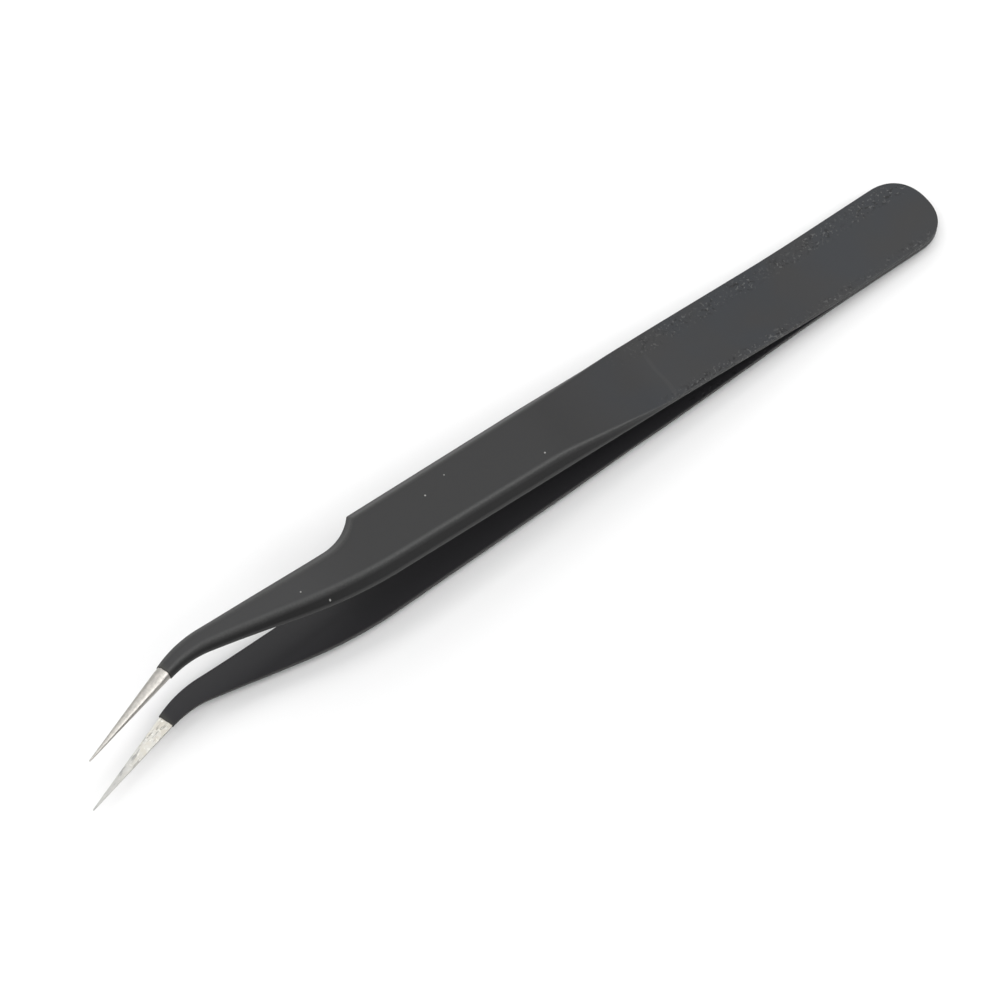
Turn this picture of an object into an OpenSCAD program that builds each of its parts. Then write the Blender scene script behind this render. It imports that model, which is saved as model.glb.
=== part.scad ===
// Curved fine-point tweezers for electronics work, lying on a table.
// Two mirrored spring-steel arms are spot-welded together at the tail. Each arm is a thin leaf
// spring that swells into a bevelled grip, steps in at a shoulder, and narrows into a nose that
// hooks sideways. A black coat covers everything except the last stretch of each point.
// Lengths run along X from the tail towards the points. Places on an arm are measured in the
// frame of the tool, whose plane z = 0 lies between the arms, and are then tilted onto the table.

/* [Overall] */
// Length from the tail end to the points
overall_length = 120; // [112:1:135]
// Width of the strip at the tail
tail_width = 9.4; // [8.6:0.1:11]
// Width at the front end of the grips
grip_width = 8.5; // [7.6:0.1:9.4]

/* [Tail and spring] */
// Thickness of the coated strip
strip_thickness = 0.6; // [0.5:0.05:0.9]
// Length of the tail, where the two strips lie face to face
tail_length = 14; // [12:0.5:17]
// Distance from the tail end to where the thin spring ends
spring_end = 40; // [36:0.5:44]
// Angle at which each spring leaves the tail
spring_angle = 4.9; // [4.4:0.1:5.8]
// Length of the bend at the root of each spring
root_bend_length = 9.6; // [7:0.2:12]

/* [Spot welds] */
// Number of spot welds in a row along the tail
weld_count = 2; // [1:1:3]
// Diameter of a spot weld
weld_diameter = 3; // [2:0.1:4]
// Distance from the tail end to the first weld
weld_start = 4.5; // [3.5:0.1:5.5]
// Distance between neighbouring welds
weld_pitch = 4.8; // [4.2:0.1:5.5]
// Depth that a weld reaches into each strip
weld_depth = 0.35; // [0.2:0.05:0.45]

/* [Grip] */
// Thickness of the coated grip
grip_thickness = 2; // [1.6:0.05:2.4]
// Length over which the strip swells to the thickness of the grip
swell_length = 14.5; // [11:0.5:16]
// Angle of each grip to the middle plane
grip_angle = 3.25; // [2.7:0.05:3.7]
// Width of the bevel along each outer edge of the grip
grip_bevel = 0.95; // [0.5:0.05:1.2]
// Distance from the end of the spring to where the bevel starts
bevel_delay = 3.5; // [2:0.5:6]
// Length over which the bevel grows to its full width
bevel_growth = 14.5; // [11:0.5:16]
// Height of the upright edge beside the inner face
edge_height = 0.35; // [0.25:0.05:0.5]

/* [Shoulder and nose] */
// Distance from the shoulder back corner to the points
shoulder_to_point = 39.7; // [37:0.1:42]
// Radius of the hollow below the shoulder
shoulder_radius = 6.4; // [4.5:0.1:7.5]
// Radius that rounds the shoulder's corner
shoulder_corner = 0.4; // [0.2:0.1:1]
// Distance from the centre line to the back edge where the hollow ends
nose_back = 2.1; // [1.8:0.05:2.5]
// Distance from the centre line to the back edge at the neck
neck_back = 2.35; // [2.1:0.05:2.6]
// Distance from the points to where the front edge turns in
turn_in_to_point = 34.6; // [33:0.1:36]
// Length of the curve where the front edge turns in
turn_in_length = 11.5; // [8:0.5:13]
// Distance from the points to the neck of the nose
neck_to_point = 19.6; // [19:0.1:21]
// Width of the nose at the neck
neck_width = 3.08; // [2.8:0.02:3.6]

/* [Hook and points] */
// Distance from the points to the middle of the hook
hook_to_point = 15.55; // [15.2:0.05:16.2]
// Angle by which the hook turns the points sideways
hook_angle = 24; // [10:0.2:30]
// Length of the hook's bend
hook_length = 5.4; // [4:0.2:5.6]
// Distance from the points to where the arms bend towards each other
inward_bend_to_point = 22; // [20:0.5:26]
// Angle of the points to the middle plane
point_angle = 1.25; // [0:0.05:2.4]
// Length of bare steel at each point, measured along X
bare_length = 12.35; // [9:0.05:12.6]
// Width of the coated nose where the coat ends
coat_end_width = 1.96; // [1.6:0.02:2.4]
// Thickness of the coated nose where the coat ends
coat_end_thickness = 1; // [0.8:0.05:1.3]
// Width of the very tip
tip_width = 0.16; // [0.1:0.02:0.4]
// Thickness of the very tip
tip_thickness = 0.12; // [0.08:0.02:0.3]

/* [Coat] */
// Thickness of the coat on the steel
coat_thickness = 0.1; // [0.06:0.01:0.15]

/* [Hidden] */
$fn = 96;

// Colours of the coat, the bare steel and the welds
coat_colour = "#48484b";
steel_colour = "#c8c5be";
weld_colour = "#8f8a82";

// Half lengths of the smaller roundings along an arm
swell_round = 2;
grip_bend_round = 4;
inward_bend_round = 4;
taper_round = 3;
neck_round = 3;
bevel_round = 1.5;
back_round = 1.5;
// Share of the sharp bevel that is rounded into a dome on the grip
grip_roundness = 0.1;
// Share of the half width that the dome takes up at the coat's end and on the bare points
dome_share = 0.97;
// Number of facets on each rounded outer edge
edge_steps = 5;

// Places along the tool, measured from the tail end
swell_end = spring_end + swell_round + swell_length;
bevel_start = spring_end + bevel_delay;
bevel_full = bevel_start + bevel_growth;
shoulder_x = overall_length - shoulder_to_point;
turn_in_x = overall_length - turn_in_to_point;
neck_x = overall_length - neck_to_point;
hook_x = overall_length - hook_to_point;
inward_bend_x = overall_length - inward_bend_to_point;
coat_end_x = overall_length - bare_length;

// A line of straight stretches through corners [x, value, half length of the rounding],
// evaluated at x. Each corner adds its change of slope through a smooth ramp.
function ramp(d, half) = d <= -half ? 0 : d >= half ? d : pow(d + half, 2) / (4 * half);
function ramp_rise(d, half) = min(1, max(0, (d + half) / (2 * half)));
function slope(c, i) = (c[i + 1][1] - c[i][1]) / (c[i + 1][0] - c[i][0]);
function total(v) = v * [for (n = v) 1];
function along(x, c) =
    c[0][1] + slope(c, 0) * (x - c[0][0])
    + total([for (i = [1:len(c) - 2]) (slope(c, i) - slope(c, i - 1)) * ramp(x - c[i][0], c[i][2])]);

// Side view: distance from the middle plane to an arm's inner face
root_bend_x = tail_length + root_bend_length / 2;
spring_rise = (spring_end - root_bend_x) * tan(spring_angle);
grip_rise = (inward_bend_x - spring_end) * tan(grip_angle);
point_rise = inward_bend_to_point * tan(point_angle);
gap_line = [
    [0, 0, 0],
    [root_bend_x, 0, root_bend_length / 2],
    [spring_end, spring_rise, grip_bend_round],
    [inward_bend_x, spring_rise + grip_rise, inward_bend_round],
    [overall_length, spring_rise + grip_rise + point_rise, 0]
];
function gap(x) = along(x, gap_line);

// Side view: thickness of the coated arm
thickness_line = [
    [0, strip_thickness, 0],
    [spring_end + swell_round, strip_thickness, swell_round],
    [swell_end, grip_thickness, swell_round],
    [shoulder_x + taper_round, grip_thickness, taper_round],
    [coat_end_x, coat_end_thickness, 0]
];
function thickness(x) = along(x, thickness_line);

// Outline seen from above: the front edge and the back edge of the coated arm, without the hook
tail_radius = tail_width / 2;
body_line = [[tail_length, tail_radius, 0], [turn_in_x, grip_width / 2, 0], [overall_length, grip_width / 2, 0]];
front_at_neck = neck_width - neck_back;
nose_slope = (front_at_neck - grip_width / 2) / (neck_x - turn_in_x) / 2;
coat_end_y = front_at_neck - neck_width / 2 + nose_slope * (coat_end_x - neck_x);
front_line = [
    [tail_length, tail_radius, 0],
    [turn_in_x, grip_width / 2, turn_in_length / 2],
    [neck_x, front_at_neck, neck_round],
    [coat_end_x, coat_end_y + coat_end_width / 2, 0]
];
function body_half(x) = along(x, body_line);
function front_edge(x) = along(x, front_line);

// The shoulder: a rounded corner that runs into a hollow arc, tangent to the nose's back edge
shoulder_half = body_half(shoulder_x);
shoulder_drop = shoulder_half - nose_back;
arcs_radius = shoulder_radius + shoulder_corner;
arcs_reach = sqrt(2 * arcs_radius * shoulder_drop - pow(shoulder_drop, 2));
corner_x = shoulder_x;
hollow_x = corner_x + arcs_reach;
change_x = corner_x + arcs_reach * shoulder_corner / arcs_radius;
change_angle = asin(arcs_reach / arcs_radius);
nose_back_line = [
    [shoulder_x, -nose_back, 0],
    [hollow_x + back_round, -nose_back, back_round],
    [neck_x, -neck_back, neck_round],
    [coat_end_x, coat_end_y - coat_end_width / 2, 0]
];
function corner_arc(x) = shoulder_corner - sqrt(pow(shoulder_corner, 2) - pow(x - corner_x, 2));
function hollow_arc(x) = shoulder_radius - sqrt(pow(shoulder_radius, 2) - pow(hollow_x - x, 2));
function back_edge(x) =
    x <= corner_x ? -body_half(x)
    : x <= change_x ? -shoulder_half + corner_arc(x)
    : x <= hollow_x ? -nose_back - hollow_arc(x)
    : along(x, nose_back_line);

// Centre line with the hook, half width, and the angle at which a cross-section stands
hook_slope = tan(hook_angle + atan(nose_slope)) - nose_slope;
function centre(x) = (front_edge(x) + back_edge(x)) / 2 + hook_slope * ramp(x - hook_x, hook_length / 2);
function half_width(x) = (front_edge(x) - back_edge(x)) / 2;
function lean(x) =
    atan(nose_slope) * min(1, max(0, (x - hollow_x) / (neck_x - hollow_x)))
    + hook_angle * ramp_rise(x - hook_x, hook_length / 2);

// Cross-section: width of the bevel, and how far it is rounded into a dome
bevel_line = [
    [spring_end, 0, 0],
    [bevel_start, 0, bevel_round],
    [bevel_full, grip_bevel, bevel_round],
    [coat_end_x, dome_share * coat_end_width / 2, 0]
];
function bevel(x) = along(x, bevel_line);
function roundness(x) =
    grip_roundness + (1 - grip_roundness) * min(1, max(0, (x - shoulder_x) / (coat_end_x - shoulder_x)));

// Half of a cross-section as [across, height], from the inner face up to the outer face
function half_section(half, low, edge, high, cut, round) = [
    [half, low],
    for (k = [0:edge_steps])
        let (u = k / edge_steps)
        [half - cut * (u * (1 - round) + (1 - cos(90 * u)) * round),
         edge + (high - edge) * (u * (1 - round) + sin(90 * u) * round)]
];
function whole_section(points) = concat(
    points,
    [for (k = [len(points) - 1:-1:0]) [-points[k][0], points[k][1]]]
);
// A cross-section stood up at x, on the centre line and on the inner face
function stand(x, points) = [
    for (p = points)
        [x - p[0] * sin(lean(x)), centre(x) + p[0] * cos(lean(x)), gap(x) + p[1]]
];
function coat_ring(x) = stand(x, whole_section(
    half_section(half_width(x), 0, edge_height, thickness(x), bevel(x), roundness(x))));

// The steel under the coat, and the bare point that tapers on from where the coat ends
core_share = (coat_end_width / 2 - coat_thickness) / (coat_end_width / 2);
bare_start_half = coat_end_width / 2 - coat_thickness;
bare_start_thickness = coat_end_thickness - 2 * coat_thickness;
edge_share = (edge_height - coat_thickness) / bare_start_thickness;
function core_ring(x) = stand(x, whole_section(
    half_section(half_width(x) - coat_thickness, coat_thickness, edge_height,
                 thickness(x) - coat_thickness, core_share * bevel(x), roundness(x))));
function bare_ring(x) =
    let (u = (x - coat_end_x) / bare_length,
         half = bare_start_half + (tip_width / 2 - bare_start_half) * u,
         high = bare_start_thickness + (tip_thickness - bare_start_thickness) * u)
    stand(x, whole_section(
        half_section(half, coat_thickness, coat_thickness + edge_share * high,
                     coat_thickness + high, dome_share * half, 1)));

// Places of the cross-sections
function steps(from, to, count) = [for (i = [1:count]) from + (to - from) * i / count];
flat_x = (spring_end + corner_x) / 2;
grip_stations = concat([spring_end], steps(spring_end, flat_x, 16), steps(flat_x, corner_x, 3));
shoulder_stations = concat(
    [for (i = [1:3]) corner_x + shoulder_corner * sin(change_angle * i / 3)],
    [for (i = [7:-1:0]) hollow_x - shoulder_radius * sin(change_angle * i / 8)]
);
nose_stations = concat(
    steps(hollow_x, neck_x, 8),
    steps(neck_x, hook_x - hook_length / 2, 2),
    steps(hook_x - hook_length / 2, coat_end_x, 9)
);
coated_stations = concat(grip_stations, shoulder_stations, nose_stations);
bare_stations = steps(coat_end_x, overall_length, 6);

// The tool lies with its lower grip flat on the table, so it is tilted by the angle of the grip
rest_tilt = grip_angle;
grip_depth = gap(shoulder_x) + grip_thickness;
lift = grip_depth * cos(rest_tilt) - shoulder_x * sin(rest_tilt);
tip_depth = gap(overall_length) + coat_thickness + tip_thickness;
rear_reach = strip_thickness * sin(rest_tilt);
front_reach = overall_length * cos(rest_tilt) + tip_depth * sin(rest_tilt);
middle_x = (front_reach - rear_reach) / 2;

module laid() {
    translate([-middle_x, 0, lift]) rotate([0, -rest_tilt, 0]) children();
}

module below() {
    mirror([0, 0, 1]) children();
}

// Faces between two rings of points, as triangles; inward turns them to face the hollow
function ring_faces(rings, size, first, inward) = [
    for (i = [0:rings - 2], j = [0:size - 1], half = [0, 1])
        let (a = first + i * size + j,
             b = first + i * size + (j + 1) % size,
             c = b + size,
             d = a + size,
             face = half == 0 ? [a, d, c] : [a, c, b])
        inward ? [face[2], face[1], face[0]] : face
];

// Triangles that close one ring, in strips between each point and the one across from it
function cap_faces(size, first, inward) = [
    for (j = [0:size / 2 - 2], half = [0, 1])
        let (a = first + j,
             b = first + j + 1,
             c = first + size - 2 - j,
             d = first + size - 1 - j,
             face = half == 0 ? [a, b, c] : [a, c, d])
        inward ? [face[2], face[1], face[0]] : face
];

// Triangles between two rings that stand in one plane
function rim_faces(size, outer, inner, inward) = [
    for (j = [0:size - 1], half = [0, 1])
        let (k = (j + 1) % size,
             face = half == 0 ? [outer + j, outer + k, inner + k] : [outer + j, inner + k, inner + j])
        inward ? [face[2], face[1], face[0]] : face
];

// A closed solid through rings of points
module loft(rings) {
    size = len(rings[0]);
    polyhedron(
        points = [for (ring = rings, p = ring) p],
        faces = concat(
            cap_faces(size, 0, false),
            ring_faces(len(rings), size, 0, false),
            cap_faces(size, (len(rings) - 1) * size, true)
        )
    );
}

// A sleeve between outer and inner rings, open at both ends
module sleeve(outer, inner) {
    size = len(outer[0]);
    count = len(outer) * size;
    polyhedron(
        points = concat([for (ring = outer, p = ring) p], [for (ring = inner, p = ring) p]),
        faces = concat(
            ring_faces(len(outer), size, 0, false),
            ring_faces(len(inner), size, count, true),
            rim_faces(size, 0, count, false),
            rim_faces(size, count - size, 2 * count - size, true)
        )
    );
}

// Outline of the strip from above, between two places along it
module strip_plan(from, to) {
    polygon([
        [from, body_half(from)], [to, body_half(to)],
        [to, -body_half(to)], [from, -body_half(from)]
    ]);
}

module weld_row() {
    for (i = [0:weld_count - 1])
        translate([weld_start + i * weld_pitch, 0, -weld_depth])
            cylinder(d = weld_diameter, h = 2 * weld_depth);
}

module tail_strip() {
    difference() {
        union() {
            translate([tail_radius, 0, 0]) cylinder(r = tail_radius, h = strip_thickness);
            translate([tail_radius, -tail_radius, 0])
                cube([tail_length - tail_radius, tail_width, strip_thickness]);
        }
        weld_row();
    }
}

module spring_strip() {
    places = concat([tail_length], steps(tail_length, spring_end, 16));
    inner_side = [for (x = places) [x, gap(x)]];
    outer_side = [for (i = [len(places) - 1:-1:0]) [places[i], gap(places[i]) + strip_thickness]];
    intersection() {
        translate([0, tail_width, 0])
            rotate([90, 0, 0])
                linear_extrude(2 * tail_width)
                    polygon(concat(inner_side, outer_side));
        linear_extrude(2 * gap(spring_end))
            strip_plan(tail_length, spring_end);
    }
}

module steel_blade() {
    loft(concat([for (x = coated_stations) core_ring(x)], [for (x = bare_stations) bare_ring(x)]));
}

module coat_sleeve() {
    sleeve([for (x = coated_stations) coat_ring(x)], [for (x = coated_stations) core_ring(x)]);
}

// Welded end of the upper strip
module upper_tail() {
    color(coat_colour) laid() tail_strip();
}

// Welded end of the lower strip
module lower_tail() {
    color(coat_colour) laid() below() tail_strip();
}

// Spot welds that join the two strips inside the tail
module spot_welds() {
    color(weld_colour) laid() weld_row();
}

// Thin leaf that bends when the upper arm is pressed
module upper_spring() {
    color(coat_colour) laid() spring_strip();
}

// Thin leaf that bends when the lower arm is pressed
module lower_spring() {
    color(coat_colour) laid() below() spring_strip();
}

// Steel of the upper grip and nose, with its bare point
module upper_blade() {
    color(steel_colour) laid() steel_blade();
}

// Steel of the lower grip and nose, with its bare point
module lower_blade() {
    color(steel_colour) laid() below() steel_blade();
}

// Black coat around the upper grip and nose
module upper_coat() {
    color(coat_colour) laid() coat_sleeve();
}

// Black coat around the lower grip and nose
module lower_coat() {
    color(coat_colour) laid() below() coat_sleeve();
}

upper_tail();
lower_tail();
spot_welds();
upper_spring();
lower_spring();
upper_blade();
lower_blade();
upper_coat();
lower_coat();
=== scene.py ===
# %% [markdown]
# # Curved tweezers in Blender
# These are fine-point tweezers for electronics work, lying on a table on one grip. The real tool is
# two blanks of spring steel, welded together at the tail, each with a black coat that stops short of
# the point. The packed model gives the place of every piece. This lesson makes each arm again as one
# smooth coated skin and one bare steel blade, and gives them their finishes.

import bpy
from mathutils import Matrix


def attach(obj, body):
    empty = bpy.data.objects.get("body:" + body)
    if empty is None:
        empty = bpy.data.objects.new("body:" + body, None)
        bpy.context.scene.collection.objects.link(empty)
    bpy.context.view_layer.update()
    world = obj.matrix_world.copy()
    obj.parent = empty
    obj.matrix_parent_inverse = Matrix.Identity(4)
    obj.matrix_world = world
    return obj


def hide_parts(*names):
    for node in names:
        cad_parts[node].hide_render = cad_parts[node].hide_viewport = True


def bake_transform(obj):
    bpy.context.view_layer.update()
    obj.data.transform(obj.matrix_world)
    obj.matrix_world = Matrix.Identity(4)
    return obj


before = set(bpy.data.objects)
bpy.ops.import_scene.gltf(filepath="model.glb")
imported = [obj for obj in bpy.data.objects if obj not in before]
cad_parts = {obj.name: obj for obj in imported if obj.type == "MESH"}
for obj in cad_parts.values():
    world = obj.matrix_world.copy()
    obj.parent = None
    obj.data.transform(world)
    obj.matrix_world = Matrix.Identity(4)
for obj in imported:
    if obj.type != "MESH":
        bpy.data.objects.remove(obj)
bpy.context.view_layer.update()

# %% Load what the lesson needs from Blender
import math

import bmesh
import bpy
import numpy as np
from mathutils import Vector

mm = 0.001
scene = bpy.context.scene

# %% [markdown]
# ## The sizes of an arm
# An arm starts as a flat blank of steel strip: a round tail, a thin spring, a thick grip with a
# shoulder, and a nose that hooks sideways. X runs from the tail end to the point, Y across the
# blank, and Z up from its inner face. Most of the sizes below are those of the solid model. The
# bevels, the straight edge under them and the tail's end are fitted to the photograph more finely,
# and differ from the solid model by 0.2 mm at most.

# %% Sizes along the blank
overall_length = 120 * mm
tail_width = 9.4 * mm
grip_width = 8.5 * mm
strip_thickness = 0.6 * mm
grip_thickness = 2 * mm
spring_start_x = 14 * mm
spring_end_x = 40 * mm
swell_start_x = 42 * mm
swell_end_x = 56.5 * mm
bevel_start_x = 43 * mm
bevel_full_x = 56 * mm
bevel_widest_x = 88 * mm
shoulder_x = 80.3 * mm
turn_in_x = 85.4 * mm
neck_x = 100.4 * mm
hook_x = 104.45 * mm
coat_end_x = 107.65 * mm
bare_length = overall_length - coat_end_x
print("bare steel at each point:", round(bare_length / mm, 2), "mm along X")

# %% Sizes across the blank
shoulder_radius = 6.4 * mm
shoulder_corner = 0.4 * mm
nose_back = 2.1 * mm
neck_back = 2.35 * mm
neck_width = 3.08 * mm
coat_end_width = 1.96 * mm
coat_end_thickness = 1 * mm
tip_width = 0.16 * mm
tip_thickness = 0.12 * mm
coat_thickness = 0.1 * mm
hook_angle = math.radians(24)
hook_length = 5.4 * mm
print("steel inside the coat's end:", round((coat_end_width - 2 * coat_thickness) / mm, 2), "mm wide")

# %% Widths of the bevel, and the shape of the edges
grip_bevel = 0.88 * mm
turn_bevel = 1.08 * mm
neck_bevel = 0.64 * mm
point_bevel = 0.5 * mm
edge_part = 0.36  # share of the thickness that the straight edge takes
grip_roundness = -0.1
point_roundness = 0.1
tail_power = 0.88  # 1 makes the tail's end a half circle, and less makes it squarer
print("straight edge of the grip:", round(edge_part * grip_thickness / mm, 2), "mm high")

# %% [markdown]
# ## Lines with rounded corners
# Every edge of the blank is a few straight stretches with a soft change of direction between them.
# They could be drawn as curves by hand, but a formula gives the width at any place. One function
# follows the first stretch, and at each corner it adds the change of slope through a short parabola.
# The solid model is shaped by the same formula, so the two lie close together.

# %% A line through soft corners
def ramp(distance, half):
    """0 before a corner and the distance after it, joined by a parabola that is 2 * half long."""
    if half == 0:
        return max(distance, 0)
    reach = min(max(distance, -half), half)
    return (reach + half) ** 2 / (4 * half) + max(distance - half, 0)


def along(x, corners):
    """Height at x of the line through corners (x, value, half length of the rounding)."""
    slopes = [(b[1] - a[1]) / (b[0] - a[0]) for a, b in zip(corners, corners[1:])]
    value = corners[0][1] + slopes[0] * (x - corners[0][0])
    for corner, before, after in zip(corners[1:-1], slopes, slopes[1:]):
        value += (after - before) * ramp(x - corner[0], corner[2])
    return value


print("a ramp halfway round a corner of 2 mm:", ramp(0, 1), "mm")

# %% Half lengths of the soft corners
turn_in_half = 5.75 * mm
neck_half = 3 * mm
hollow_half = 1.5 * mm
swell_half = 2 * mm
taper_half = 3 * mm
bevel_half = 1.5 * mm
widest_half = 4 * mm
print("the front edge turns in over", round(2 * turn_in_half / mm, 1), "mm")

# %% Body and front edge
tail_radius = tail_width / 2
front_at_neck = neck_width - neck_back
nose_slope = (front_at_neck - grip_width / 2) / (neck_x - turn_in_x) / 2
coat_end_y = front_at_neck - neck_width / 2 + nose_slope * (coat_end_x - neck_x)
body_line = [
    (spring_start_x, tail_radius, 0),
    (turn_in_x, grip_width / 2, 0),
    (overall_length, grip_width / 2, 0),
]
front_line = [
    (spring_start_x, tail_radius, 0),
    (turn_in_x, grip_width / 2, turn_in_half),
    (neck_x, front_at_neck, neck_half),
    (coat_end_x, coat_end_y + coat_end_width / 2, 0),
]
print("half width at the shoulder:", round(along(shoulder_x, body_line) / mm, 2), "mm")

# %% Thickness and bevel along the arm
thickness_line = [
    (0, strip_thickness, 0),
    (swell_start_x, strip_thickness, swell_half),
    (swell_end_x, grip_thickness, swell_half),
    (shoulder_x + taper_half, grip_thickness, taper_half),
    (coat_end_x, coat_end_thickness, 0),
]
bevel_line = [
    (spring_end_x, 0, 0),
    (bevel_start_x, 0, bevel_half),
    (bevel_full_x, grip_bevel, bevel_half),
    (bevel_widest_x, turn_bevel, widest_half),
    (neck_x, neck_bevel, neck_half),
    (coat_end_x, point_bevel, 0),
]


def bevel(x):
    """Width of the bevel beside the outer face."""
    return max(along(max(x, spring_end_x), bevel_line), 0)


def roundness(x):
    """0 for a flat bevel, 1 for a dome, and below 0 for a bevel that is slightly hollow."""
    share = (x - shoulder_x) / (coat_end_x - shoulder_x)
    return grip_roundness + (point_roundness - grip_roundness) * min(max(share, 0), 1)


print("thickness of the grip:", round(along(70 * mm, thickness_line) / mm, 2), "mm")

# %% [markdown]
# ## The outline, with its shoulder and hook
# The back edge steps in at the shoulder: a small rounded corner runs into a hollow arc, and the arc
# runs into the nose. Past the neck the whole blade turns sideways, so its cross-sections lean too.
# The shoulder's two arcs need their own formula, because they stand too steep for the soft corners.

# %% Back edge
corner_half = along(shoulder_x, body_line)
shoulder_drop = corner_half - nose_back
arcs_radius = shoulder_radius + shoulder_corner
arcs_reach = math.sqrt(2 * arcs_radius * shoulder_drop - shoulder_drop**2)
hollow_x = shoulder_x + arcs_reach
change_x = shoulder_x + arcs_reach * shoulder_corner / arcs_radius
change_angle = math.asin(arcs_reach / arcs_radius)
nose_back_line = [
    (shoulder_x, -nose_back, 0),
    (hollow_x + hollow_half, -nose_back, hollow_half),
    (neck_x, -neck_back, neck_half),
    (coat_end_x, coat_end_y - coat_end_width / 2, 0),
]


def back_edge(x):
    """Y of the edge that has the shoulder."""
    if x <= shoulder_x:
        return -along(x, body_line)
    if x <= change_x:
        return -corner_half + shoulder_corner - math.sqrt(shoulder_corner**2 - (x - shoulder_x) ** 2)
    if x <= hollow_x:
        return -nose_back - shoulder_radius + math.sqrt(shoulder_radius**2 - (hollow_x - x) ** 2)
    return along(x, nose_back_line)


print("the shoulder takes", round((hollow_x - shoulder_x) / mm, 2), "mm")

# %% Centre line and lean
hook_slope = math.tan(hook_angle + math.atan(nose_slope)) - nose_slope


def half_width(x):
    return (along(x, front_line) - back_edge(x)) / 2


def centre(x):
    """Y of the middle of the blade, with the hook."""
    return (along(x, front_line) + back_edge(x)) / 2 + hook_slope * ramp(x - hook_x, hook_length / 2)


def lean(x):
    """Angle at which a cross-section stands, in radians."""
    taper = min(max((x - hollow_x) / (neck_x - hollow_x), 0), 1)
    hook = min(max((x - hook_x) / hook_length + 0.5, 0), 1)
    return math.atan(nose_slope) * taper + hook_angle * hook


print("the point stands at", round(math.degrees(lean(overall_length)), 1), "degrees to the grip")

# %% [markdown]
# ## A cross-section with soft corners
# Paint never has a sharp corner. A Bevel modifier would round all the edges alike, but on the real
# arm the inner corner is tight and the outer one is wide, so the corners are drawn. Each side of a
# cross-section is the path of a small tool that goes from the inner face, round the inner corner, up
# the edge, up the bevel and round the outer corner. The corners are short Bezier curves, and limits
# keep them from running over a narrow face. Each point also notes how close it is to a corner, and
# whether it lies on the inner face or on the side, so that a material can tell them apart.

# %% Steps of a cross-section
corner_steps = 6
bevel_steps = 8
bevel_start_gap = 0.08 * mm
support_width = 0.12 * mm


def bend_corner(start, corner, end, steps):
    """Points on a quadratic Bezier curve."""
    points = []
    for step in range(steps + 1):
        t = step / steps
        points.append(tuple(
            (1 - t) ** 2 * a + 2 * t * (1 - t) * b + t**2 * c for a, b, c in zip(start, corner, end)
        ))
    return points


print("middle of a corner of 1 mm:", bend_corner((1, 0), (0, 0), (0, 1), 2)[1])

# %% One side of a cross-section
def side_path(half, low, edge, high, cut, dome, inner_soft, outer_soft):
    """(inset, height, ridge, inner, side) from the inner face to the outer face of one side."""
    def slope_point(u):
        flat = 1 - dome
        inset = cut * (u * flat + (1 - math.cos(u * math.pi / 2)) * dome)
        return inset, edge + (high - edge) * (u * flat + math.sin(u * math.pi / 2) * dome)

    length = math.hypot(cut, high - edge)
    inner_up = min(inner_soft, 0.45 * (edge - low))
    room = half - cut
    outer_soft = min(outer_soft, room / 2)
    support = min(support_width, (room - outer_soft) / 2)
    first = min(0.25, bevel_start_gap / length)
    last = 1 - min(0.6, 1.6 * outer_soft / length)
    path = [(min(2 * inner_soft, 0.8 * half), low, 0, 1, 0)]
    curve = bend_corner((min(inner_soft, 0.5 * half), low), (0, low), (0, low + inner_up), corner_steps)
    for step, (inset, height) in enumerate(curve):
        share = step / corner_steps
        path.append((inset, height, math.sin(math.pi * share), 1 - share, share))
    slopes = [slope_point(first + (last - first) * step / bevel_steps) for step in range(bevel_steps + 1)]
    path += [(inset, height, 0, 0, 1) for inset, height in slopes[:-1]]
    curve = bend_corner(slopes[-1], (cut, high), (cut + outer_soft, high), corner_steps)
    for step, (inset, height) in enumerate(curve):
        share = step / corner_steps
        path.append((inset, height, math.sin(math.pi * share) * (1 - dome**2), 0, 1 - share))
    path.append((cut + outer_soft + support, high, 0, 0, 0))
    return path


sample = side_path(
    4.2 * mm, 0, edge_part * grip_thickness, grip_thickness, grip_bevel, grip_roundness, 0.12 * mm, 0.5 * mm
)
print("points on one side of a cross-section:", len(sample))

# %% [markdown]
# ## Rings into a mesh
# A station is a place on the outline: the two edge points, and the two directions that lead inwards
# from them. The tail's end is a superellipse, which is a half circle made slightly squarer. There the
# directions stand square to the outline, so the soft edge runs evenly round the end. A ring is a
# cross-section put on a station, and neighbouring rings are joined by quads.

# %% Stations
def tail_station(angle):
    """Angle 0 is the very end of the tail, and a right angle its full width."""
    cosine = max(math.cos(angle), 0)
    sine = math.sin(angle)
    x = tail_radius * (1 - cosine**tail_power)
    y = tail_radius * sine**tail_power
    normal = Vector((cosine ** (2 - tail_power), sine ** (2 - tail_power))).normalized()
    inwards = (normal[0], -normal[1])
    return (x, y), inwards, (x, -y), (inwards[0], -inwards[1])


def blade_station(x, half):
    turn = lean(x)
    across = (-math.sin(turn), math.cos(turn))
    middle = (x, centre(x))
    front = (middle[0] + half * across[0], middle[1] + half * across[1])
    back = (middle[0] - half * across[0], middle[1] - half * across[1])
    return front, (-across[0], -across[1]), back, across


def strip_station(x):
    half = along(max(x, spring_start_x), body_line)
    return (x, half), (0, -1), (x, -half), (0, 1)


print("tail end at x =", tail_station(0)[0][0])

# %% Rings
face_steps = 4


def ring(station, path):
    """Points (x, y, z, ridge, inner, side) once round a cross-section."""
    front, into_front, back, into_back = station

    def place(edge, into):
        return [(edge[0] + d * into[0], edge[1] + d * into[1], z, *marks) for d, z, *marks in path]

    def between(a, b):
        shares = [step / face_steps for step in range(1, face_steps)]
        return [tuple(p + (q - p) * share for p, q in zip(a, b)) for share in shares]

    near, far = place(front, into_front), place(back, into_back)[::-1]
    return near + between(near[-1], far[0]) + far + between(far[-1], near[0])


print("points once round:", len(ring(strip_station(spring_end_x), sample)))

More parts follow.
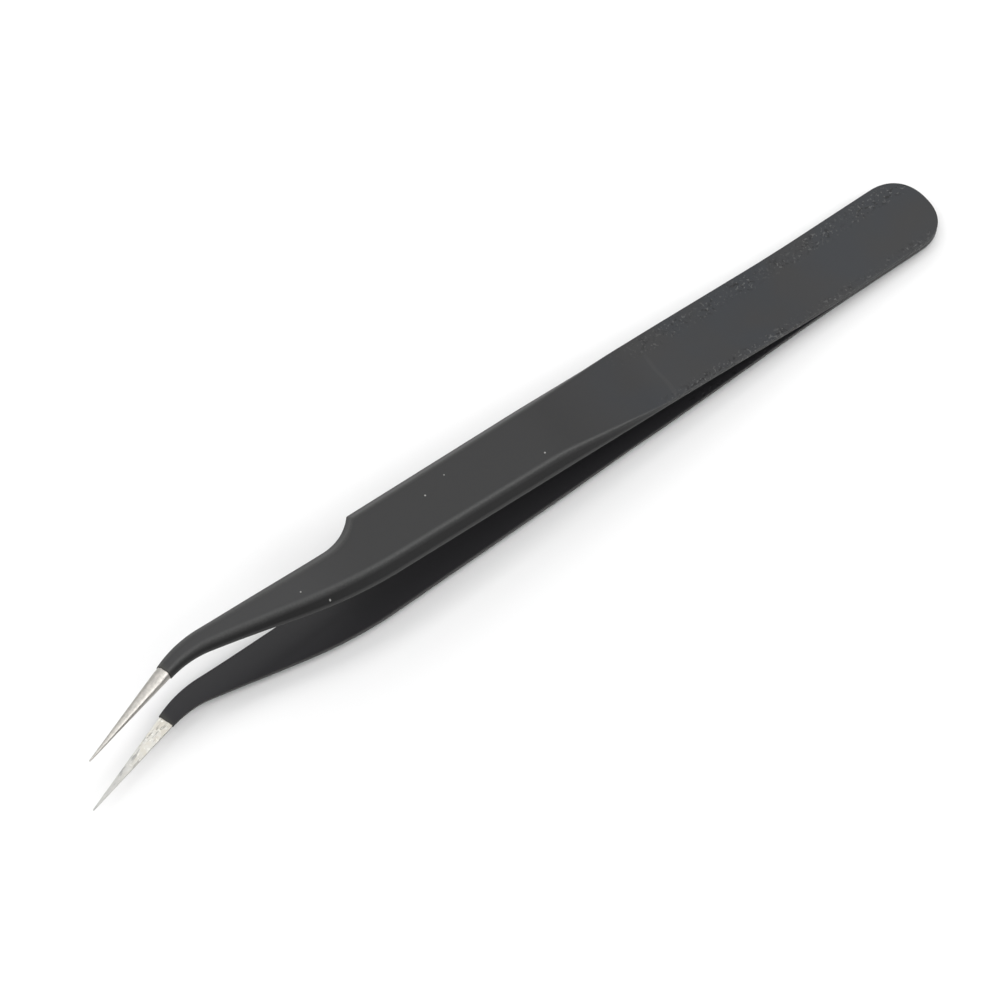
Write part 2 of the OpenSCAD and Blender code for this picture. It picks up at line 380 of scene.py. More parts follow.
# %% Faces between the rings
merge_distance = 0.0005 * mm


def loft(name, rings):
    """A closed mesh through the rings, with the ridge, inner and side values as attributes."""
    size = len(rings[0])
    mesh = bpy.data.meshes.new(name)
    points = [point for one in rings for point in one]
    faces = []
    for k in range(len(rings) - 1):
        for j in range(size):
            a, b = k * size + j, k * size + (j + 1) % size
            faces.append((a, b, b + size, a + size))
    faces += [tuple(range(size)), tuple(range((len(rings) - 1) * size, len(rings) * size))]
    mesh.from_pydata([point[:3] for point in points], [], faces)
    for column, attribute_name in ((3, "ridge"), (4, "inner"), (5, "side")):
        attribute = mesh.attributes.new(attribute_name, "FLOAT", "POINT")
        attribute.data.foreach_set("value", [point[column] for point in points])
    edit = bmesh.new()
    edit.from_mesh(mesh)
    bmesh.ops.remove_doubles(edit, verts=edit.verts, dist=merge_distance)
    bmesh.ops.recalc_face_normals(edit, faces=edit.faces)
    for face in edit.faces:
        face.smooth = True
    edit.to_mesh(mesh)
    edit.free()
    print(name, "has", len(mesh.vertices), "points and", len(mesh.polygons), "faces")
    return mesh


# %% [markdown]
# ## The coated skin
# The coat covers the strip from the tail end to 12 mm from the point. The solid model has three
# pieces there, and seams between them would show, so one skin takes their place. Its mesh runs
# forward over the outside, round the ragged lip where the coat ends, and back along the inside as far
# as the thick part goes, so the steel blade has its own room inside it.

# %% Places of the coat's rings
def spread(start, end, count):
    return [start + (end - start) * step / count for step in range(1, count + 1)]


flat_grip_x = 60 * mm
corner_rings = 8
hollow_rings = 20
spring_places = spread(tail_radius, spring_start_x, 8) + spread(spring_start_x, spring_end_x, 52)
grip_places = spread(spring_end_x, flat_grip_x, 50) + spread(flat_grip_x, shoulder_x, 22)
corner_angles = spread(0, change_angle, corner_rings)
hollow_angles = [change_angle * k / hollow_rings for k in range(hollow_rings - 1, -1, -1)]
corner_places = [shoulder_x + shoulder_corner * math.sin(angle) for angle in corner_angles]
hollow_places = [hollow_x - shoulder_radius * math.sin(angle) for angle in hollow_angles]
nose_places = spread(hollow_x, neck_x, 36) + spread(neck_x, coat_end_x, 36)
blade_places = corner_places + hollow_places + nose_places
print("coat rings:", len(spring_places + grip_places + blade_places))

# %% Cross-section of the coat
strip_outer_soft = 0.13 * mm
grip_outer_soft = 0.42 * mm
coat_inner_soft = 0.1 * mm


def coat_path(x, inset):
    """Side of the cross-section at x, made smaller all round by inset."""
    half = half_width(x) if x > shoulder_x else along(max(x, spring_start_x), body_line)
    share = min(max((x - spring_end_x) / (bevel_full_x - spring_end_x), 0), 1)
    outer_soft = strip_outer_soft + (grip_outer_soft - strip_outer_soft) * share
    high = along(x, thickness_line)
    return side_path(
        half - inset, inset, edge_part * high, high - inset,
        bevel(x) * (1 - inset / half), roundness(x), coat_inner_soft, outer_soft,
    )


def coat_ring(x, inset=0):
    if x <= shoulder_x:
        front, into_front, back, into_back = strip_station(x)
        station = ((x, front[1] - inset), into_front, (x, back[1] + inset), into_back)
    else:
        station = blade_station(x, half_width(x) - inset)
    return ring(station, coat_path(x, inset))


print("rounding of the coat's outer corner:", strip_outer_soft / mm, "to", grip_outer_soft / mm, "mm")

# %% Rings of the lip
lip_radius = 0.05 * mm
lip_steps = 4
lip_waves = [(0.05 * mm, 7000, 0.4), (0.03 * mm, 16000, 2.0), (0.02 * mm, 31000, 4.1)]


def ragged(one):
    """Moves the points of a ring back along X by up to 0.1 mm."""
    moved = []
    for x, y, z, *marks in one:
        waves = [reach * (1 + math.sin(pace * (y + 2 * z) + start)) / 2 for reach, pace, start in lip_waves]
        moved.append((x - sum(waves), y, z, *marks))
    return moved


def lip_ring(angle):
    """Angle 0 is on the outside of the coat, and a right angle on its end face."""
    x = coat_end_x - lip_radius * (1 - math.sin(angle))
    return coat_ring(x, lip_radius * (1 - math.cos(angle)))


lip_rings = [lip_ring(0)] + [lip_ring(angle) for angle in spread(0, math.pi / 2, lip_steps)]
print("lip rings:", len(lip_rings))

# %% Coat mesh
tail_steps = 24
tail_angles = [math.pi / 2 * k / tail_steps for k in range(tail_steps + 1)]
tail_rings = [ring(tail_station(angle), coat_path(0, 0)) for angle in tail_angles]
outer_rings = tail_rings + [coat_ring(x) for x in spring_places + grip_places + blade_places[:-1]]
inner_places = [coat_end_x] + blade_places[-2::-2] + grip_places[::-3]
inner_rings = [coat_ring(x, coat_thickness) for x in inner_places]
lip_rings = [ragged(one) for one in lip_rings + inner_rings[:1]]
coat_blank = loft("coat_blank", outer_rings + lip_rings + inner_rings[1:])

# %% [markdown]
# ## The steel blade
# Inside the coat the blade has the coat's own shape, one coat thickness smaller. Past the coat it
# tapers straight to the point: flat on the inner face and domed on the outer face, like half a needle.
# The bevelled section turns into the domed one within 0.6 mm of the coat. Both stretches are one
# mesh, because the real blade is one piece of steel.

# %% Sizes of the bare point
bare_half = coat_end_width / 2 - coat_thickness
bare_high = coat_end_thickness - 2 * coat_thickness
ground_length = 0.6 * mm
coat_end_edge_part = 0.33
bare_edge_part = 0.25
coat_end_cut_part = point_bevel / (coat_end_width / 2)
dome_cut_part = 0.85
bare_inner_soft = 0.07 * mm
bare_outer_soft = 0.2 * mm
tip_round = 0.12 * mm
tip_face_part = 0.1
print("bare steel beside the coat:", round(2 * bare_half / mm, 2), "by", round(bare_high / mm, 2), "mm")

# %% Rings of the blade
def mix(share, first, second):
    return first + (second - first) * share


def bare_ring(x):
    """Cross-section of the bare point; the last bit of the tip is rounded off."""
    share = (x - coat_end_x) / bare_length
    left = min((overall_length - x) / tip_round, 1)
    closing = math.sqrt(max(1 - (1 - left) ** 2, tip_face_part**2))
    half = mix(share, bare_half, tip_width / 2) * closing
    high = mix(share, bare_high, tip_thickness)
    low = coat_thickness + high * (1 - closing) / 2
    top = low + high * closing
    ground = min((x - coat_end_x) / ground_length, 1)
    edge = mix(mix(ground, coat_end_edge_part, bare_edge_part), low, top)
    cut = half * mix(ground, coat_end_cut_part, dome_cut_part)
    dome = mix(ground, point_roundness, 1)
    smaller = half / bare_half
    path = side_path(half, low, edge, top, cut, dome, bare_inner_soft * smaller, bare_outer_soft * smaller)
    return ring(blade_station(x, half), path)


tip_start_x = overall_length - tip_round
bare_places = spread(coat_end_x, tip_start_x, 40) + spread(tip_start_x, overall_length, 6)
core_rings = [coat_ring(x, coat_thickness) for x in inner_places[::-1]]
steel_blank = loft("steel_blank", core_rings + [bare_ring(x) for x in bare_places])

# %% [markdown]
# ## A small language for node trees
# Shader and geometry trees are easier to read as sums than as lists of nodes. A Wire stands for the
# output of a node, and adding or multiplying wires adds the Math nodes. Every other node comes from
# one method, which takes the node's type, its settings, and the values or wires of its sockets.

# %% Wire
class Wire:
    def __init__(self, graph, socket):
        self.graph = graph
        self.socket = socket

    def __add__(self, other):
        return self.graph.math("ADD", self, other)

    def __sub__(self, other):
        return self.graph.math("SUBTRACT", self, other)

    def __mul__(self, other):
        return self.graph.math("MULTIPLY", self, other)

    def __truediv__(self, other):
        return self.graph.math("DIVIDE", self, other)

    def __rsub__(self, other):
        return self.graph.math("SUBTRACT", other, self)

    __radd__ = __add__
    __rmul__ = __mul__


print("operators of a wire:", sorted(name for name in vars(Wire) if name.startswith("__r")))

# %% Graph
class Graph:
    def __init__(self, tree):
        self.tree = tree

    def node(self, kind, settings=None, values=None, output=0):
        """Adds a node, sets it, and joins its sockets. Returns the wire of one output."""
        made = self.tree.nodes.new(kind)
        for name, value in (settings or {}).items():
            setattr(made, name, value)
        for name, value in (values or {}).items():
            self.set_socket(made.inputs[name], value)
        return Wire(self, made.outputs[output]) if made.outputs else made

    def set_socket(self, socket, value):
        """Links a wire to a socket, or sets the socket to a plain value."""
        if isinstance(value, Wire):
            self.tree.links.new(value.socket, socket)
        else:
            socket.default_value = value

    def math(self, operation, a, b=0.0):
        return self.node("ShaderNodeMath", {"operation": operation}, {0: a, 1: b})

    def part(self, vector, axis):
        """X, Y or Z of a vector."""
        return self.node("ShaderNodeSeparateXYZ", values={"Vector": vector}, output=axis)

    def soft_step(self, value, low, high):
        """0 below low, 1 above high and smooth between them; the other way round if low is above high."""
        return self.node(
            "ShaderNodeMapRange", {"interpolation_type": "SMOOTHSTEP"},
            {"Value": value, "From Min": low, "From Max": high},
        )


print("node helpers are ready")

# %% [markdown]
# ## Geometry Nodes press the blank into shape
# A press gives the flat blank three bends: the spring leaves the tail at an angle, the grip turns
# back a little, and the point turns in again. Each bend adds a change of slope past its place, so the
# whole shape is one rule of X. The tree adds that height to every point, turns the arm over for the
# lower side, and lays the tool down on its lower grip. It also keeps each point's place on the flat
# blank as an attribute, so that a pattern stays on the surface when an arm bends.

# %% Sizes of the bends
root_x = 18.8 * mm
inward_x = 98 * mm
root_half = 4.8 * mm
grip_half = 4 * mm
inward_half = 4 * mm
spring_slope = math.tan(math.radians(4.9))
grip_slope = math.tan(math.radians(3.25))
point_slope = math.tan(math.radians(1.25))
rest_tilt = math.radians(3.25)
bends = (
    ("Root", root_x, root_half, spring_slope),
    ("Grip", spring_end_x, grip_half, grip_slope - spring_slope),
    ("Inward", inward_x, inward_half, point_slope - grip_slope),
)


def gap(x):
    """Distance of the inner face from the middle plane."""
    return sum(change * ramp(x - place, half) for _, place, half, change in bends)


print("points open by", round(2 * (gap(overall_length) + coat_thickness) / mm, 2), "mm")

# %% How the pressed arms lie
tip_depth = gap(overall_length) + coat_thickness + tip_thickness
front_reach = overall_length * math.cos(rest_tilt) + tip_depth * math.sin(rest_tilt)
middle_x = (front_reach - strip_thickness * math.sin(rest_tilt)) / 2
grip_depth = gap(shoulder_x) + grip_thickness
lift = grip_depth * math.cos(rest_tilt) - shoulder_x * math.sin(rest_tilt)
print("the tail end lies", round(lift / mm, 2), "mm above the floor, measured at the middle plane")

# %% Inputs of the press
def add_input(tree, name, kind="NodeSocketFloat"):
    return tree.interface.new_socket(name, in_out="INPUT", socket_type=kind).identifier


def press_sockets(tree):
    """Adds the tree's inputs and its output. Returns the identifier of each named input."""
    names = [f"{bend} {what}" for bend, *_ in bends for what in ("Place", "Half Length", "Slope Change")]
    identifiers = {"Geometry": add_input(tree, "Geometry", "NodeSocketGeometry")}
    for name in names + ["Side", "Tilt", "Middle", "Lift"]:
        identifiers[name] = add_input(tree, name)
    identifiers["Material"] = add_input(tree, "Material", "NodeSocketMaterial")
    tree.interface.new_socket("Geometry", in_out="OUTPUT", socket_type="NodeSocketGeometry")
    return identifiers


press = bpy.data.node_groups.new("press_arm", "GeometryNodeTree")
press_inputs = press_sockets(press)
print("inputs of the press:", ", ".join(press_inputs))

# %% The rule of the bends, as nodes
def bent_height(graph, given, x, height):
    """Adds the rise of every bend to the height, and turns it over where Side is negative."""
    for bend, *_ in bends:
        half = given[f"{bend} Half Length"]
        past = x - given[f"{bend} Place"]
        reach = graph.math("MINIMUM", graph.math("MAXIMUM", past, half * -1), half) + half
        rise = reach * reach / (half * 4) + graph.math("MAXIMUM", past - half, 0.0)
        height = height + given[f"{bend} Slope Change"] * rise
    return height * given["Side"]


def laid_down(graph, given, x, y, height):
    """Tilts the tool onto its lower grip, and moves it to its place in the row frame."""
    cosine = graph.math("COSINE", given["Tilt"])
    sine = graph.math("SINE", given["Tilt"])
    return graph.node("ShaderNodeCombineXYZ", values={
        "X": x * cosine - height * sine - given["Middle"],
        "Y": y,
        "Z": x * sine + height * cosine + given["Lift"],
    })


print("the press bends at", [round(place / mm, 1) for _, place, *_ in bends], "mm from the tail end")

# %% The press tree
def build_press(tree, input_names):
    """Bends, turns over and lays down the geometry, and gives it its material."""
    graph = Graph(tree)
    group = tree.nodes.new("NodeGroupInput")
    given = {name: Wire(graph, group.outputs[name]) for name in input_names}
    place = graph.node("GeometryNodeInputPosition")
    x, y, z = (graph.part(place, axis) for axis in "XYZ")
    laid = laid_down(graph, given, x, y, bent_height(graph, given, x, z))
    kept = graph.node(
        "GeometryNodeStoreNamedAttribute", {"data_type": "FLOAT_VECTOR", "domain": "POINT"},
        {"Geometry": given["Geometry"], "Name": "blank", "Value": place},
    )
    pressed = graph.node("GeometryNodeSetPosition", values={"Geometry": kept, "Position": laid})
    turned_over = graph.node(
        "FunctionNodeCompare", {"data_type": "FLOAT", "operation": "LESS_THAN"},
        {"A": given["Side"], "B": 0.0},
    )
    flipped = graph.node("GeometryNodeFlipFaces", values={"Mesh": pressed, "Selection": turned_over})
    realized = graph.node("GeometryNodeRealizeInstances", values={"Geometry": flipped})
    finished = graph.node(
        "GeometryNodeSetMaterial", values={"Geometry": realized, "Material": given["Material"]}
    )
    graph.node("NodeGroupOutput", values={0: finished})


build_press(press, press_inputs)
print("press tree has", len(press.nodes), "nodes")

# %% Press a blank
def press_blank(name, blank, side, material):
    """A finished piece with a plain mesh, at the origin."""
    values = {"Side": side, "Tilt": rest_tilt, "Middle": middle_x, "Lift": lift, "Material": material}
    for bend, place, half, change in bends:
        values[f"{bend} Place"] = place
        values[f"{bend} Half Length"] = half
        values[f"{bend} Slope Change"] = change
    piece = bpy.data.objects.new(name, blank.copy())
    scene.collection.objects.link(piece)
    modifier = piece.modifiers.new("press", "NODES")
    modifier.node_group = press
    for input_name, value in values.items():
        modifier[press_inputs[input_name]] = value
    evaluated = piece.evaluated_get(bpy.context.evaluated_depsgraph_get())
    mesh = bpy.data.meshes.new_from_object(evaluated)
    piece.modifiers.clear()
    piece.data = mesh
    mesh.name = name
    corners = [v.co for v in mesh.vertices]
    low, high = np.min(corners, axis=0), np.max(corners, axis=0)
    print(name, "spans", (low / mm).round(2), "to", (high / mm).round(2), "mm")
    return piece


# %% [markdown]
# ## The coat
# The coat is a satin, nearly black paint, so most of its light is a reflection. Its colour is not the
# same all over: bluer in patches on the tail and the spring and darker on the grip. Painted shade
# darkens the narrow sides and the faces in the gap between the arms. A ridge is lighter, partly where
# the paint is thin and partly as a painted highlight. It has the bumps and specks of a sprayed coat in
# bands beside the edges of the tail and the spring, a faint painted highlight across the end of the
# spring where it bends, a warm tint at the lip, and five specks of dust. An image could hold all this,
# but noise and a few masks need no picture and stay sharp. They are placed in millimetres on the flat
# blank, so both arms carry them and they stay in place when an arm bends.

# %% Helpers for the materials
def start_material(name):
    """A new material, its graph and its Principled shader."""
    material = bpy.data.materials.new(name)
    material.use_nodes = True
    graph = Graph(material.node_tree)
    return material, graph, material.node_tree.nodes["Principled BSDF"]


def attribute(graph, name):
    """A number that the loft stored on the mesh: ridge, inner or side."""
    settings = {"attribute_name": name, "attribute_type": "GEOMETRY"}
    return graph.node("ShaderNodeAttribute", settings, output="Fac")


def blank_place(graph):
    """Place on the flat blank, in millimetres."""
    metres = graph.node("ShaderNodeAttribute", {"attribute_name": "blank"}, output="Vector")
    return graph.node("ShaderNodeVectorMath", {"operation": "SCALE"}, {"Vector": metres, "Scale": 1 / mm})


def join(graph, shader, values):
    for name, value in values.items():
        graph.set_socket(shader.inputs[name], value)


print("material helpers are ready")

# %% Patterns
def noise(graph, place, scale, detail=2.0):
    """Noise from about 0.2 to 0.8, with scale spots per millimetre."""
    return graph.node(
        "ShaderNodeTexNoise", values={"Vector": place, "Scale": scale, "Detail": detail, "Roughness": 0.5}
    )


def drawn_out(graph, place, share):
    """Place with a smaller share of X, so that a pattern is drawn out along X."""
    return graph.node(
        "ShaderNodeVectorMath", {"operation": "MULTIPLY"}, {"Vector": place, "Vector_001": (share, 1.0, 1.0)}
    )


def mix_colours(graph, share, first, second):
    return graph.node(
        "ShaderNodeMix", {"data_type": "RGBA"}, {"Factor": share, 6: first, 7: second}, output=2
    )


def paint_over(graph, colour, layers):
    """Puts layers (share, colour) over a first colour, one after another."""
    for share, layer in layers:
        colour = mix_colours(graph, share, colour, layer)
    return colour


print("patterns are ready")

# %% Places on the coat
coat_material, coat_graph, coat_shader = start_material("black_coat")
fade = coat_graph.soft_step
place = blank_place(coat_graph)
place_x = coat_graph.part(place, "X")
place_y = coat_graph.part(place, "Y")
ridge = attribute(coat_graph, "ridge")
inner = attribute(coat_graph, "inner")
narrow_side = attribute(coat_graph, "side")
outer = 1 - inner
on_strip = fade(place_x, 56.0, 40.0)
on_grip = fade(place_x, 46.0, 58.0) * fade(place_x, 92.0, 82.0)
back_band = fade(place_y, -1.7, -2.8) * fade(place_y, -4.5, -3.8)
front_band = fade(place_y, 3.2, 4.2)
beside_edge = coat_graph.math("MAXIMUM", back_band, front_band)
lip = fade(place_x, 106.9, 107.7)
print("nodes so far:", len(coat_material.node_tree.nodes))

# %% Sprayed texture, and masks of painted highlight at the bend and the ridges
cloud = noise(coat_graph, place, 0.12)
grain = noise(coat_graph, place, 4.0, 3.0)
patchy = fade(noise(coat_graph, place, 0.35), 0.4, 0.6)
sprayed = fade(place_x, 46.0, 38.0) * beside_edge * (patchy * 0.7 + 0.3)
pits = fade(noise(coat_graph, place, 2.0, 1.0), 0.55, 0.66) * sprayed
specks = fade(noise(coat_graph, place, 2.9, 1.0), 0.59, 0.69) * sprayed * outer
# A painted highlight across the end of the spring, along its bend, on the outer faces.
from_bend_highlight = coat_graph.math("ABSOLUTE", place_x - (cloud * 2.4 + 39.5))
bend_highlight = fade(from_bend_highlight, 0.35, 0.1) * outer * fade(place_y, -3.2, -1.0)
# Where the ridges are lighter: partly thin paint, partly a painted highlight.
outer_ridge_highlight_and_thin_paint = ridge * outer * (0.2 + grain * 1.4)
inner_ridge_highlight_and_thin_paint = ridge * inner * (0.5 + grain)
print("nodes so far:", len(coat_material.node_tree.nodes))

# %% Dust
dust_specks = [
    (58.2, 2.3, 0.13), (72.3, -0.9, 0.13), (69.0, -1.8, 0.1),
    (90.5, 0.9, 0.11), (88.3, 3.2, 0.13),
]
flat_place = coat_graph.node("ShaderNodeCombineXYZ", values={"X": place_x, "Y": place_y})
dust = 0.0
for speck_x, speck_y, speck_size in dust_specks:
    apart = coat_graph.node(
        "ShaderNodeVectorMath", {"operation": "DISTANCE"},
        {"Vector": flat_place, "Vector_001": (speck_x, speck_y, 0.0)}, output="Value",
    )
    dust = dust + fade(apart, speck_size, speck_size * 0.5)
dust = dust * outer
print("specks of dust on each arm:", len(dust_specks))

# %% Colours of the coat
paint_grey = (0.024, 0.024, 0.0247, 1)
paint_blue = (0.0215, 0.024, 0.0278, 1)
grip_paint = (0.0172, 0.0172, 0.0176, 1)
# The next two colours are painted shade on the narrow sides, darkest on the nose.
grip_side_shade = (0.0075, 0.0075, 0.0077, 1)
nose_side_shade = (0.002, 0.002, 0.002, 1)
# The next three colours are painted shade on the inner faces, in the gap between the arms.
back_inside_shade = (0.0088, 0.0084, 0.0096, 1)
front_inside_shade = (0.0165, 0.016, 0.0178, 1)
nose_inside_shade = (0.0088, 0.0083, 0.0103, 1)
pit_paint = (0.004, 0.004, 0.004, 1)
speck_paint = (0.12, 0.12, 0.118, 1)
# The next two colours are lighter ridges: partly thin paint, partly a painted highlight.
highlight_and_thin_paint_on_ridges = (0.055, 0.055, 0.054, 1)
highlight_and_thin_paint_on_inner_ridges = (0.015, 0.015, 0.0148, 1)
# A painted highlight along the bend at the end of the spring.
bend_highlight_paint = (0.038, 0.038, 0.039, 1)
lip_paint = (0.05, 0.05, 0.04, 1)
dust_colour = (0.3, 0.3, 0.29, 1)
# The darkest paint here is painted shade on the sides of the nose.
print("the sides of the nose are the darkest paint:", nose_side_shade[:3])

# %% Layers of the coat
# Painted shade: the narrow sides are darker, and darkest on the nose.
side_shade = mix_colours(coat_graph, fade(place_x, 84.0, 92.0), grip_side_shade, nose_side_shade)
# Painted shade on the inner faces between the arms: darker on the far side and in the nose.
grip_inside_shade = mix_colours(coat_graph, fade(place_y, -3.0, 4.0), back_inside_shade, front_inside_shade)
inside_shade = mix_colours(coat_graph, fade(place_x, 98.0, 78.0), nose_inside_shade, grip_inside_shade)
strip_paint = mix_colours(coat_graph, fade(cloud, 0.35, 0.65) * on_strip, paint_grey, paint_blue)
paint = paint_over(coat_graph, strip_paint, [
    (on_grip, grip_paint),
    # painted shade on the narrow sides
    (narrow_side * 0.8, side_shade),
    # painted shade on the inner faces between the arms
    (inner, inside_shade),
    (pits * 0.8, pit_paint),
    (specks * 0.55, speck_paint),
    # lighter ridges: partly thin paint, partly a painted highlight
    (outer_ridge_highlight_and_thin_paint * 0.5, highlight_and_thin_paint_on_ridges),
    (inner_ridge_highlight_and_thin_paint * 0.3, highlight_and_thin_paint_on_inner_ridges),
    # painted highlight along the bend
    (bend_highlight * 0.35, bend_highlight_paint),
    (lip * 0.5, lip_paint),
    (dust, dust_colour),
])
print("nodes so far:", len(coat_material.node_tree.nodes))

# %% Sheen and bumps of the coat
coat_height = grain * 0.25 + specks - pits
coat_bump = {"Strength": 0.8, "Distance": 0.03 * mm, "Height": coat_height}
join(coat_graph, coat_shader, {
    "Base Color": paint,
    "Roughness": 0.36 + grain * 0.06 - sprayed * 0.04 + narrow_side * 0.12 + ridge * inner * 0.3,
    "Specular IOR Level": 0.4,
    "Normal": coat_graph.node("ShaderNodeBump", values=coat_bump),
})
print("coat material has", len(coat_material.node_tree.nodes), "nodes")

# %% [markdown]
# ## The steel
# The points are ground lengthwise, so their fine scratches follow the point and not the arm, with
# some coarser grit among them. The part of the dome that faces the near side is painted darker, as a
# painted reflection of the dark near side. The flat inner face is only etched clean: it is duller and
# mottled, with light flecks and short dark strokes, greyer towards the tip and streaked along its far
# edge. So one material holds two finishes, and the mesh's inner attribute chooses between them, which
# keeps the blade one piece.

# %% Places on the point
steel_material, steel_graph, steel_shader = start_material("bare_steel")
fade = steel_graph.soft_step
place = blank_place(steel_graph)
place_x = steel_graph.part(place, "X")
inner = attribute(steel_graph, "inner")
outer = 1 - inner
point_turn = lean(overall_length)
turned = steel_graph.node(
    "ShaderNodeVectorRotate", {"rotation_type": "Z_AXIS"}, {"Vector": place, "Angle": -point_turn}
)
axis_y = (centre(overall_length) * math.cos(point_turn) - overall_length * math.sin(point_turn)) / mm
from_axis = steel_graph.part(turned, "Y") - axis_y
half_here = bare_half / mm - (place_x - coat_end_x / mm) * ((bare_half - tip_width / 2) / bare_length)
# Mask of a painted reflection: the side of the dome facing the near side is painted darker.
near_dark_reflection = fade(from_axis / half_here, 0.62, 0.76)
far_edge = fade(from_axis + half_here, 0.45, 0.15) * fade(place_x, 109.3, 110.6)
towards_tip = fade(place_x, 110.0, 117.0)
print("nodes so far:", len(steel_material.node_tree.nodes))

# %% Scratches, flecks and strokes
scratches = noise(steel_graph, drawn_out(steel_graph, turned, 0.06), 14.0, 3.0)
grit = fade(noise(steel_graph, turned, 3.4, 3.0), 0.4, 0.62)
mottle = noise(steel_graph, place, 1.1, 2.0)
mottled = fade(mottle, 0.35, 0.65)
flecks = fade(noise(steel_graph, place, 3.6, 3.0), 0.56, 0.68)
strokes = fade(noise(steel_graph, drawn_out(steel_graph, turned, 0.22), 3.6, 2.0), 0.53, 0.66)
far_streak = far_edge * (strokes * 0.7 + mottled * 0.3)
print("nodes so far:", len(steel_material.node_tree.nodes))

# %% Colours of the steel
ground_dark = (0.31, 0.297, 0.277, 1)
ground_light = (0.54, 0.522, 0.492, 1)
grit_colour = (0.6, 0.575, 0.53, 1)
# Colour of the painted dark reflection on the near side of the dome.
near_dark_reflection_colour = (0.17, 0.155, 0.145, 1)
etched_dark = (0.64, 0.61, 0.54, 1)
etched_light = (0.7, 0.69, 0.65, 1)
stroke_colour = (0.3, 0.29, 0.26, 1)
fleck_colour = (0.85, 0.84, 0.79, 1)
tip_colour = (0.47, 0.47, 0.46, 1)
streak_colour = (0.3, 0.3, 0.3, 1)
ground_steel = paint_over(steel_graph, ground_dark, [
    (scratches, ground_light),
    (grit * 0.4, grit_colour),
    # painted reflection of the dark near side
    (near_dark_reflection * 0.36, near_dark_reflection_colour),
])
etched_steel = paint_over(steel_graph, etched_dark, [
    (mottled, etched_light),
    (strokes * 0.85, stroke_colour),
    (flecks, fleck_colour),
    (towards_tip * 0.8, tip_colour),
    (far_streak * 0.8, streak_colour),
])
print("nodes so far:", len(steel_material.node_tree.nodes))

# %% Sheen and bumps of the steel
steel_height = scratches * outer * 0.6 + (flecks - strokes + mottle) * inner
steel_bump = {"Strength": 0.35, "Distance": 0.01 * mm, "Height": steel_height}
join(steel_graph, steel_shader, {
    "Base Color": mix_colours(steel_graph, inner, ground_steel, etched_steel),
    "Metallic": 1 - inner * 0.4,
    "Roughness": 0.36 + scratches * 0.12 + inner * 0.08,
    "Normal": steel_graph.node("ShaderNodeBump", values=steel_bump),
})
print("steel material has", len(steel_material.node_tree.nodes), "nodes")

# %% [markdown]
# ## The pieces
# Both arms of the real tool come off the same press, so each blank is pressed twice, and once it is
# turned over. This makes two coated skins and two steel blades. The spot welds sit between the tails,
# where nothing shows them, so they keep the packed model's mesh and only take the steel's material.

# %% Press the arms
upper_skin = press_blank("upper_arm_coat", coat_blank, 1.0, coat_material)
lower_skin = press_blank("lower_arm_coat", coat_blank, -1.0, coat_material)
upper_steel = press_blank("upper_arm_steel", steel_blank, 1.0, steel_material)
lower_steel = press_blank("lower_arm_steel", steel_blank, -1.0, steel_material)

# %% Spot welds
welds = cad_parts["spot_welds"]
welds.data.materials.clear()
welds.data.materials.append(steel_material)
print("the welds' mesh has", len(welds.data.polygons), "faces")

# %% [markdown]
# ## Floor, light and camera
# The tool lies on a plain pale floor in a bright studio. A real studio hangs wide soft boxes over the
# table, so the light comes from rectangular area lights. The strongest one hangs overhead and gives
# the coat its even sheen. The far and side ones light the ridges and the bevels, and two small ones
# on the near side soften the shadow. The camera stands where the photograph's camera stood, which
# was worked out from the straight edges, the round tail and the points. The floor lies a hair below
# the tool, so that the two never share a plane.

# %% Floor
floor_half = 2.0
floor_drop = 0.02 * mm
floor_corners = [
    (-floor_half, -floor_half, 0), (floor_half, -floor_half, 0),
    (floor_half, floor_half, 0), (-floor_half, floor_half, 0),
]
floor_mesh = bpy.data.meshes.new("floor")
floor_mesh.from_pydata(floor_corners, [], [(0, 1, 2, 3)])
floor = bpy.data.objects.new("floor", floor_mesh)
floor.location.z = -floor_drop
scene.collection.objects.link(floor)
floor_material = bpy.data.materials.new("pale_floor")
floor_material.use_nodes = True
floor_shader = floor_material.node_tree.nodes["Principled BSDF"]
floor_shader.inputs["Base Color"].default_value = (0.87, 0.87, 0.87, 1)
floor_shader.inputs["Roughness"].default_value = 0.9
floor_mesh.materials.append(floor_material)
print("the floor is", 2 * floor_half, "m wide")

# %% Faint light from all around
world = bpy.data.worlds.new("studio")
scene.world = world
world.use_nodes = True
background = world.node_tree.nodes["Background"]
background.inputs["Color"].default_value = (1, 1, 1, 1)
background.inputs["Strength"].default_value = 0.05
print("background strength:", round(background.inputs["Strength"].default_value, 2))

# %% Soft boxes
def soft_light(name, place, size, power):
    """A rectangular light that shines from place towards the middle of the tool."""
    light = bpy.data.lights.new(name, "AREA")
    light.shape = "RECTANGLE"
    light.size, light.size_y = size
    light.energy = power
    lamp = bpy.data.objects.new(name, light)
    lamp.location = place
    lamp.rotation_euler = (-Vector(place)).to_track_quat("-Z", "Y").to_euler()
    scene.collection.objects.link(lamp)
    print(name, "shines with", power, "W")


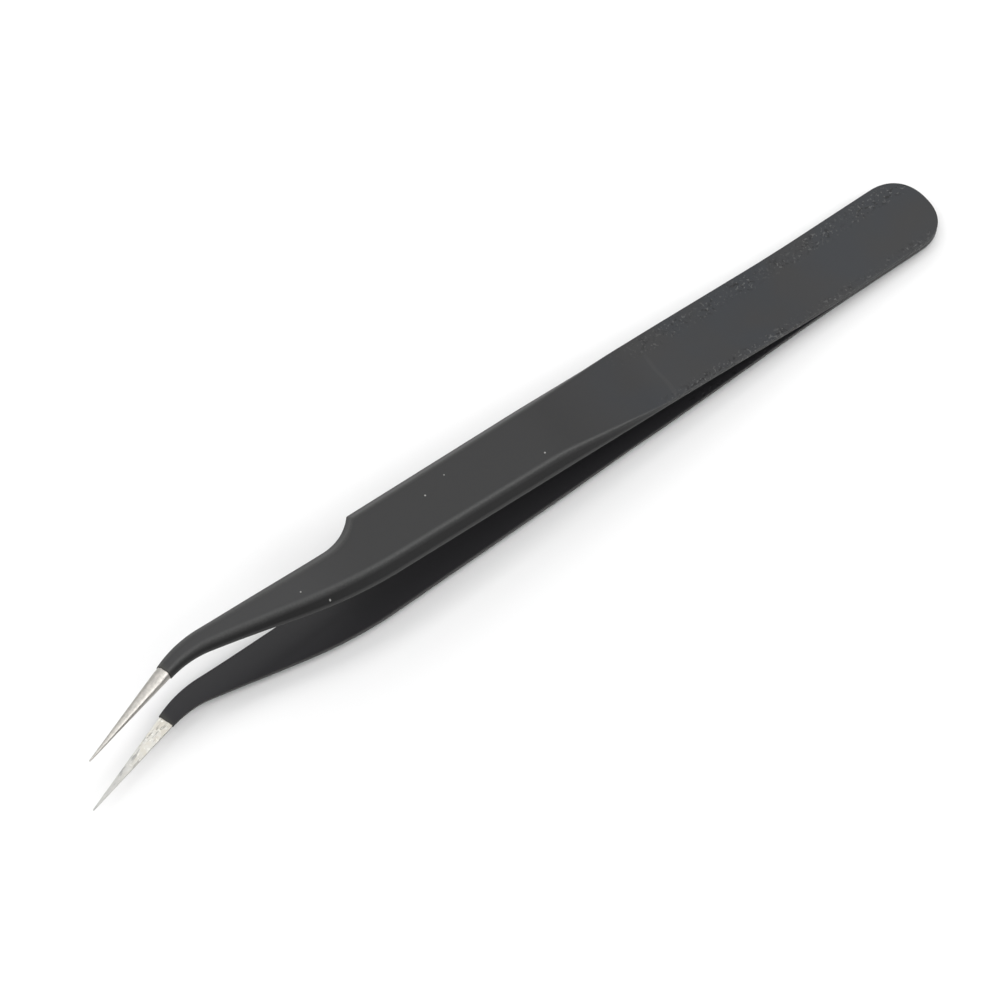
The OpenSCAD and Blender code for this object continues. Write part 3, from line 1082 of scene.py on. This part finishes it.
soft_light("overhead", (0.0, 0.05, 1.0), (1.9, 0.85), 10.2)
soft_light("far_overhead", (0.0, -0.72, 0.78), (1.9, 0.72), 5.0)
soft_light("far_wall", (0.0, -1.2, 0.3), (2.4, 0.5), 3.0)
soft_light("tail_wall", (-0.98, -0.1, 0.42), (1.3, 0.8), 1.4)
soft_light("point_wall", (0.98, -0.1, 0.42), (1.3, 0.8), 1.0)
soft_light("near_tail_lamp", (-0.5, 0.52, 0.68), (0.5, 0.45), 3.3)
soft_light("near_point_lamp", (0.5, 0.52, 0.68), (0.5, 0.45), 1.3)

# %% Camera
camera_azimuth = math.radians(141.72)
camera_elevation = math.radians(61.56)
camera_distance = 482 * mm
target = Vector((3.89 * mm, 2.13 * mm, 5.575 * mm))
back = Vector((
    math.sin(camera_azimuth) * math.cos(camera_elevation),
    -math.cos(camera_azimuth) * math.cos(camera_elevation),
    math.sin(camera_elevation),
))
camera_data = bpy.data.cameras.new("camera")
camera_data.sensor_width = 36
camera_data.lens = 158.4
camera_data.clip_start = 0.01
camera = bpy.data.objects.new("camera", camera_data)
camera.location = target + back * camera_distance
camera.rotation_euler = (-back).to_track_quat("-Z", "Y").to_euler()
scene.collection.objects.link(camera)
scene.camera = camera
scene.view_settings.view_transform = "Standard"
print("the camera stands at", [round(v, 3) for v in camera.location], "m")

# %% [markdown]
# ## Riding on the bodies
# When the arms are pressed, the real springs bend and the grips, noses and points stay stiff. Each
# steel blade rides on its arm. Each skin reaches from the tail, which stays still, to the lip, which
# turns with the arm. The skin's place is baked into its mesh, and the places where its spring starts
# and ends are worked out and printed, but the skin is not attached to a body. Cutting the skin at the
# hinge would be simpler, but the cut would show.

# %% Ride on the bodies
def laid_place(x, side):
    """A point of the inner face in the row frame."""
    height = side * gap(x)
    return (
        x * math.cos(rest_tilt) - height * math.sin(rest_tilt) - middle_x,
        0,
        x * math.sin(rest_tilt) + height * math.cos(rest_tilt) + lift,
    )


arms = (("upper", upper_skin, upper_steel, 1), ("lower", lower_skin, lower_steel, -1))
for arm, skin, steel, side in arms:
    spring_start = laid_place(spring_start_x, side)
    spring_end = laid_place(spring_end_x, side)
    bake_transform(skin)
    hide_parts(f"{arm}_tail", f"{arm}_spring", f"{arm}_coat")
    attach(steel, f"{arm}_arm")
    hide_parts(f"{arm}_blade")
    print(arm, "skin bends from", [round(v / mm, 1) for v in spring_start], "mm")
